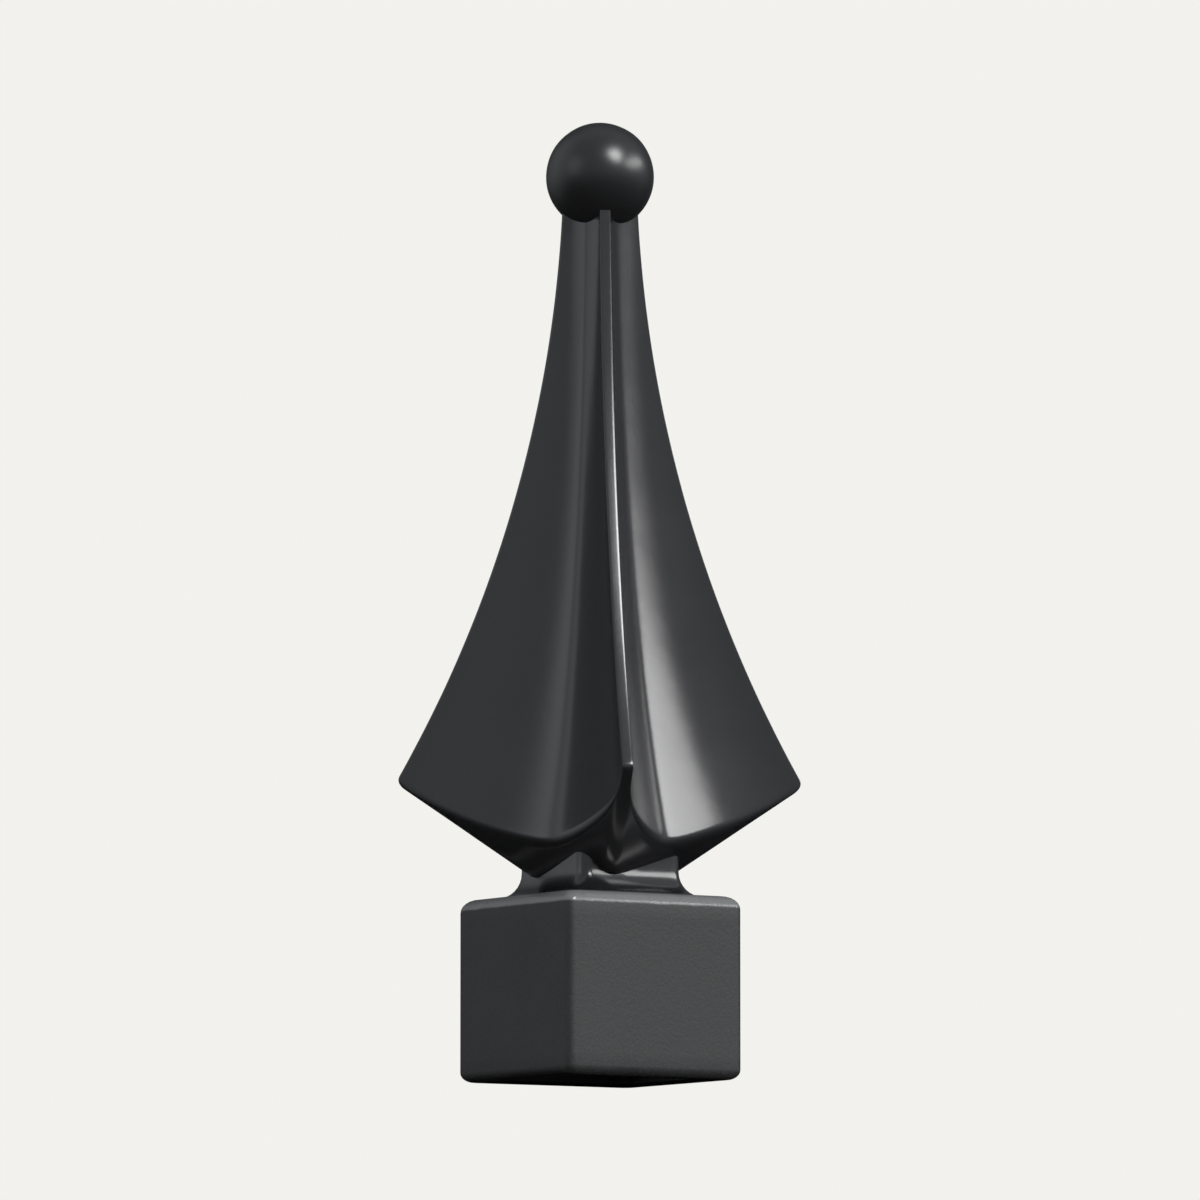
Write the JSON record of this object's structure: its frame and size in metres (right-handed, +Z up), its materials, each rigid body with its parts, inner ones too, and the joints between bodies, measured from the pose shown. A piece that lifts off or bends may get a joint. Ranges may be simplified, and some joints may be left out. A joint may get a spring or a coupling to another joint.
{
  "type": "railing spear finial",
  "caption": "Press-on spear finial for a square railing picket: a square socketed collar, a coved neck, a flared spear with ridges and hollow flutes, and a ball on top.",
  "frame": {"origin": "centre of the collar's mouth, level with its rim, where the picket enters", "axes": "+Z up the spear to the ball, +X and +Y square to the collar's sides"},
  "size_m": [0.0452, 0.0452, 0.1163],
  "materials": {
    "black_coat": "black powder coat on cast aluminium, semi-gloss on the spear and ball, satin with a fine texture on the collar"
  },
  "bodies": {
    "root": {"spear_finial": "black_coat"}
  },
  "joints": []
}
